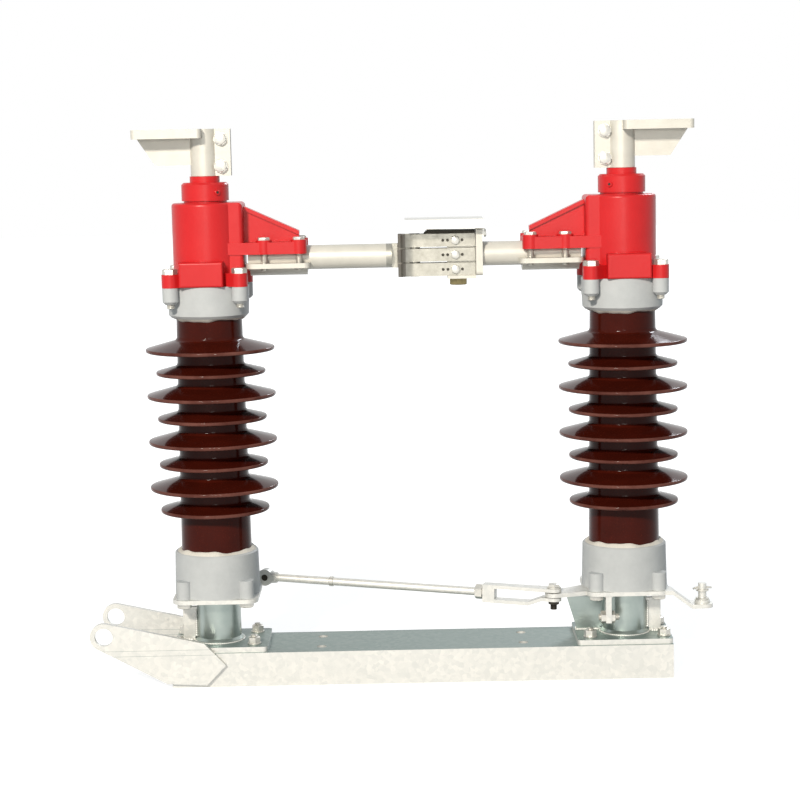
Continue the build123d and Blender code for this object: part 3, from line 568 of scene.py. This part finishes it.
# %% Rod nut, sleeve, pivots and pin
lead, crank = np.radians(25.7), 120
yoke_level, eye_level = 122.5, 136.3
yoke_over, yoke_under, eye_half = 12.7, 5.7, 7
locknut_run, sleeve_run, joint_run = 106, 336, 123
right_pivot = np.array([half_span - crank * np.cos(lead), -crank * np.sin(lead), yoke_level])
left_pivot = np.array([-half_span - crank * np.sin(lead), crank * np.cos(lead), eye_level])
along = (left_pivot - right_pivot) / np.linalg.norm(left_pivot - right_pivot)
sideways = np.cross(along, up) / np.linalg.norm(np.cross(along, up))
over = np.cross(sideways, along)
locknut = copies(hexagon(19, 11), right_pivot + along * locknut_run, along)
sleeve = copies(round_bar(7.4, 7, 0.8), right_pivot + along * sleeve_run, along)
yoke_top = copies(stack(round_bar(10, 2), hexagon(15, 4.5, 2)), right_pivot + over * yoke_over, over)
eye_top = copies(bolt(12, 11), left_pivot + [0, 0, eye_half], up)
piece("tie_rod_fasteners", stack(locknut, sleeve, yoke_top, eye_top), plated, "tie_rod")
yoke_end = copies(stack(hexagon(15, 5), thread(5, 8, 1.5, 5)), right_pivot - over * yoke_under, -over)
joint = left_pivot - along * joint_run
cross_pin = copies(round_bar(4.9, 15, 0.4), joint - sideways * 7.5, sideways)
piece("tie_rod_pins", stack(yoke_end, cross_pin), dark_steel, "tie_rod")
crank_nut_place = left_pivot * [1, 1, 0] + [0, 0, table_underside]
piece("left_crank_nut", copies(bolt(12, 11, 4), crank_nut_place, down), plated, "left_post")

# %% [markdown]
# ### The drive pin and the stop screw
#
# A cotter through the drive pin keeps the drive rod on: a wire whose legs are bent apart. The screw in
# the hanging lug sets where the switch stops.

# %% Cotter, washers and stop screw
share = np.linspace(-1, 1, 25)
cotter_x, cotter_half, cotter_level, pin_x, pin_y = 408.5, 13.5, 131, 408.455, -45
washer_levels = (113, 125.5)
screw_y, screw_z = -49, 90
legs = np.stack([cotter_x + cotter_half * share, pin_y + 3 * share ** 3, cotter_level - 2 * share ** 2], -1)
cotter = swept(legs, round_section(1.5))
pin_washers = [copies(round_bar(9.5, 2.5), (pin_x, pin_y, z), up) for z in washer_levels]
stop_screw = [copies(hexagon(16, 7), (267, screw_y, screw_z), (-1, 0, 0)),
              copies(hexagon(16, 6), (275, screw_y, screw_z), (1, 0, 0)),
              copies(thread(5, 30, 1.5), (257, screw_y, screw_z), (1, 0, 0))]
piece("drive_fasteners", stack(cotter, *pin_washers, *stop_screw), plated, "right_post")

# %% [markdown]
# ### Set screws
#
# A screw in each neck ring stops the terminal's stem from lifting. Its head is painted over with the casting,
# so only the dark hexagon socket tells it from the ring. The socket is a dark hexagonal plug, not a hole: its
# dark tone is painted shade.

# %% Set screws in the necks
tilt, neck_radius, screw_level = np.radians(35), 33, 716
screw = round_bar(4.2, 3.2, 0.6)
# Painted shade: a dark hexagonal plug in the head stands for the socket's hollow.
socket_shade = ring_solid(np.full((2, 6), 2.2), np.array([2.0, 3.3]))
for side in posts:
    out = np.array([np.sin(tilt) * -np.sign(posts[side]), -np.cos(tilt), 0])
    seat = np.array([posts[side], 0, screw_level]) + out * neck_radius
    piece(f"{side}_set_screw", copies(screw, seat, out), red_paint, f"{side}_post")
    piece(f"{side}_set_screw_socket_shade", copies(socket_shade, seat, out), dark_steel, f"{side}_post")

# %% [markdown]
# ## Cement and welds
#
# The porcelain is cemented into its metal cups, and the cement squeezes out as an uneven ring. The steel
# parts of the base are welded, and a weld bead is a round section carried along the joint, rippled where
# the puddle froze.

# %% Cement rings
def cement_ring(side, inner, outer, level, rise):
    """Ring that slopes from the cup's rim to the porcelain, up or down by the sign of rise; its height and
    reach wander by a sum of three sines, and the section runs rim, crown, porcelain and back under."""
    angle = np.linspace(0, 2 * np.pi, 96, endpoint=False)
    wander = 1 + 0.3 * np.sin(3 * angle + 1.1) + 0.22 * np.sin(7 * angle) + 0.12 * np.sin(13 * angle + 2.0)
    reach = inner + (outer - inner) * (0.85 + 0.15 * wander)
    core = np.full(angle.shape, inner - 1.0)
    radius = np.stack([core, reach, (reach + inner) / 2, core])
    height = np.stack([0 * wander, 0 * wander, 0.6 * abs(rise) * wander, abs(rise) * wander])
    points, faces = ring_solid(radius, height)
    if rise < 0:
        faces = [face[::-1] for face in faces]
    return points * [1, 1, np.sign(rise)] + [posts[side], 0, level], faces


for side in posts:
    rings = stack(cement_ring(side, inner=51.5, outer=57.5, level=193, rise=4.5),
                  cement_ring(side, inner=47.5, outer=53.5, level=536.5, rise=-4))
    piece(f"{side}_cement_rings", rings, cement, f"{side}_post", sharp=60)

# %% Weld beads
bead_step = 0.75


def straight(a, b):
    """Points about one bead_step apart from a to b."""
    a, b = np.asarray(a, float), np.asarray(b, float)
    return a + (b - a) * np.linspace(0, 1, max(3, int(np.linalg.norm(b - a) / bead_step)))[:, None]


def circle(x, radius, level):
    """Points about one bead_step apart round a circle about a post."""
    angle = np.linspace(0, 2 * np.pi, int(2 * np.pi * radius / bead_step), endpoint=False)
    return np.stack([x + radius * np.cos(angle), radius * np.sin(angle), np.full(angle.shape, level)], -1)


thick, thin, swell = round_section(1.8), round_section(1.3), 1 / 6
foot_radius, foot_bead_level, bead_level = 36.6, 58.3, 58.6
outer_stop_sides, inner_stop_sides = (-8.6, 0.6), (7.4, 16.6)
welds = [swept(circle(x, foot_radius, foot_bead_level), thin, swell, True) for x in posts.values()]
for x, s in ((-half_span, -1), (half_span, 1)):
    for y in outer_stop_sides:
        welds.append(swept(straight((x + s * 38, y, bead_level), (x + s * 52, y, bead_level)), thick, swell))
    for y in outer_stop_sides:
        welds.append(swept(straight((x + s * 33, y, 66), (x + s * 33, y, 104)), thick, swell))
welds += [swept(straight((262, y, bead_level), (228, y, bead_level)), thick, swell) for y in inner_stop_sides]
piece("base_welds", stack(*welds), zinc, "base", sharp=60)
lug_sides, lug_bead_level = (266.6, 275.4), 122.6
lug_welds = [swept(straight((x, -58, lug_bead_level), (x, -40, lug_bead_level)), thick, swell)
             for x in lug_sides]
piece("lug_welds", stack(*lug_welds), zinc, "right_post", sharp=60)

# %% [markdown]
# ## Stage, light and camera
#
# The photograph shows the pole on plain white, lit from the front and a little above, so its front faces
# are pale and its top faces darker. A key lamp stands behind the camera, above it and to the left, a weak one
# behind it lights the front faces, a third lights the back, and a dim cool world fills the shadows. The white
# behind is only what the camera and the reflections see: the world's and the far floor's own colour. Near
# the pole the floor is pale paper, which keeps the shadow.

# %% What the camera and the reflections see
def seen_white(tree):
    """1 for a ray from the camera, a mirror or glass, and 0 for one that carries light between surfaces."""
    ray = add(tree, "LightPath")
    some = add(tree, "Math", {}, {0: ray.outputs["Is Camera Ray"], 1: ray.outputs["Is Glossy Ray"]},
               operation="MAXIMUM")
    return add(tree, "Math", {}, {0: some.outputs[0], 1: ray.outputs["Is Transmission Ray"]},
               operation="MAXIMUM").outputs[0]


# %% Floor
floor_half = 15.0
floor_mesh = bpy.data.meshes.new("floor")
floor_corners = [(x * floor_half, y * floor_half, 0) for x, y in ((-1, -1), (1, -1), (1, 1), (-1, 1))]
floor_mesh.from_pydata(floor_corners, [], [(0, 1, 2, 3)])
floor = bpy.data.objects.new("floor", floor_mesh)
bpy.context.scene.collection.objects.link(floor)
paper, tree, shader, place = start_material(
    "white_paper_floor", Roughness=0.9, Base_Color=linear("#a8a8a8"), Emission_Color=(1, 1, 1, 1))
away = add(tree, "VectorMath", {}, {0: place}, operation="LENGTH")
fade = add(tree, "MapRange", {"From Min": 0.8, "From Max": 1.6, "To Min": 0.8, "To Max": 1.0},
           {"Value": away.outputs["Value"]})
glow = add(tree, "Math", {}, {0: fade.outputs[0], 1: seen_white(tree)}, operation="MULTIPLY")
tree.links.new(glow.outputs[0], shader.inputs["Emission Strength"])
floor_mesh.materials.append(paper)
print("stage", floor.name)

# %% World
world = bpy.data.worlds.new("studio")
bpy.context.scene.world = world
world.use_nodes = True
tree = world.node_tree
sky = add(tree, "Mix", {6: linear("#75838a"), 7: (1, 1, 1, 1)}, {0: seen_white(tree)}, data_type="RGBA")
tree.links.new(sky.outputs[2], tree.nodes["Background"].inputs["Color"])
print("world", world.name)

# %% Lamps
pole_middle = Vector((0, 0, 0.4))


def lamp(name, place, size, watts, tint):
    """Rectangular lamp of that width and height in metres, aimed at the middle of the pole."""
    data = bpy.data.lights.new(name, "AREA")
    data.shape = "RECTANGLE"
    data.size, data.size_y = size
    data.energy = watts
    data.color = linear(tint)[:3]
    made = bpy.data.objects.new(name, data)
    made.location = place
    made.rotation_euler = (pole_middle - made.location).to_track_quat("-Z", "Y").to_euler()
    bpy.context.scene.collection.objects.link(made)
    print(name, watts, "W at", place)


lamp("key", (-1.9, -6.0, 3.6), (0.8, 0.6), 600, "#fff6ea")
lamp("fill", (0.25, -6.0, 1.25), (1.2, 0.8), 45, "#fffaf2")
lamp("back", (2.6, 5.6, 4.2), (1.6, 1.2), 160, "#f4f8ff")

# %% [markdown]
# ### Camera
#
# The view is worked out from where the two posts, the channel and the arms fall in the photograph: a long
# lens nearly three metres away, looking slightly down, and rolled by about a degree.

# %% Camera
pitch, roll, yaw = np.radians([7.341, 1.214, -0.139])
standpoint = (-0.0185, -2.8967, 0.7815)
look = np.array([np.sin(yaw) * np.cos(pitch), np.cos(yaw) * np.cos(pitch), -np.sin(pitch)])
level = np.array([np.cos(yaw), -np.sin(yaw), 0.0])
rise = np.cross(level, look)
right = np.cos(roll) * level - np.sin(roll) * rise
above = np.sin(roll) * level + np.cos(roll) * rise
camera_data = bpy.data.cameras.new("camera")
camera_data.sensor_width, camera_data.lens = 36.0, 90.0
camera = bpy.data.objects.new("camera", camera_data)
camera.matrix_world = Matrix.Translation(standpoint) @ Matrix(
    np.stack([right, above, -look], 1).tolist()).to_4x4()
bpy.context.scene.collection.objects.link(camera)
bpy.context.scene.camera = camera
bpy.context.scene.view_settings.view_transform = "Standard"
print("camera at", [round(v, 4) for v in camera.matrix_world.translation])
